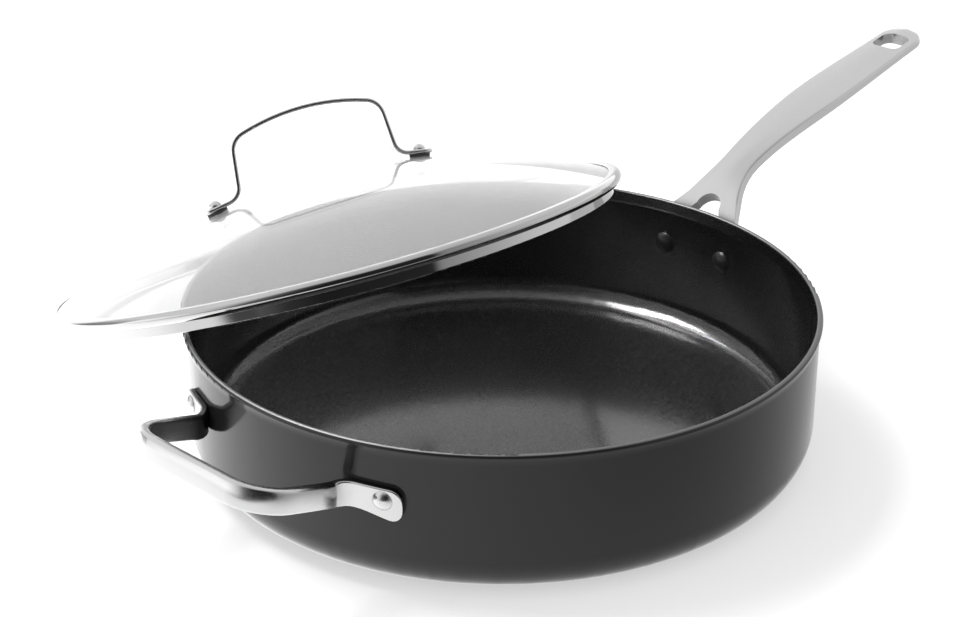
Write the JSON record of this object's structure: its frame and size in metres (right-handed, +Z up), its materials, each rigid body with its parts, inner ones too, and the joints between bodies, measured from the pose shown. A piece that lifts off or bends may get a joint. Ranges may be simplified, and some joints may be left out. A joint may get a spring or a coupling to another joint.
{
  "type": "saute pan with lid",
  "caption": "Straight-sided saute pan with a forked long handle, a helper handle and a domed glass lid that leans on its rim.",
  "frame": {"origin": "centre of the pan's flat base, on the surface it stands on", "axes": "+X runs from the pan's axis along the long handle, +Z is up, the lid leans towards +Y"},
  "size_m": [0.537, 0.4243, 0.1312],
  "materials": {
    "pan_metal": "satin hard-anodised outside, dark semi-gloss coating inside, thin bare rim",
    "handle_steel": "satin",
    "rivet_steel": "satin, dark coating on the heads inside the pan",
    "lid_glass": "clear, polished",
    "lid_steel": "polished",
    "lid_handle_steel": "satin to polished",
    "fastener_steel": "polished",
    "seal_rubber": "matt silicone"
  },
  "bodies": {
    "pan": {"pan_body": "pan_metal", "long_handle": "handle_steel", "long_handle_rivet_left": "rivet_steel", "long_handle_rivet_right": "rivet_steel", "helper_handle": "handle_steel", "helper_handle_rivet_left": "rivet_steel", "helper_handle_rivet_right": "rivet_steel"},
    "lid": {"lid_glass": "lid_glass", "lid_band": "lid_steel", "lid_handle": "lid_handle_steel", "lid_screw_left": "fastener_steel", "lid_screw_right": "fastener_steel", "lid_foot_gasket_left": "seal_rubber", "lid_foot_gasket_right": "seal_rubber", "lid_inner_seal_left": "seal_rubber", "lid_inner_seal_right": "seal_rubber", "lid_washer_left": "fastener_steel", "lid_washer_right": "fastener_steel", "lid_nut_left": "fastener_steel", "lid_nut_right": "fastener_steel"}
  },
  "joints": [
    {"name": "lid_lift", "type": "slide", "parent": "pan", "child": "lid", "axis": [0, 0, 1], "range_m": [0, 0.16]}
  ]
}
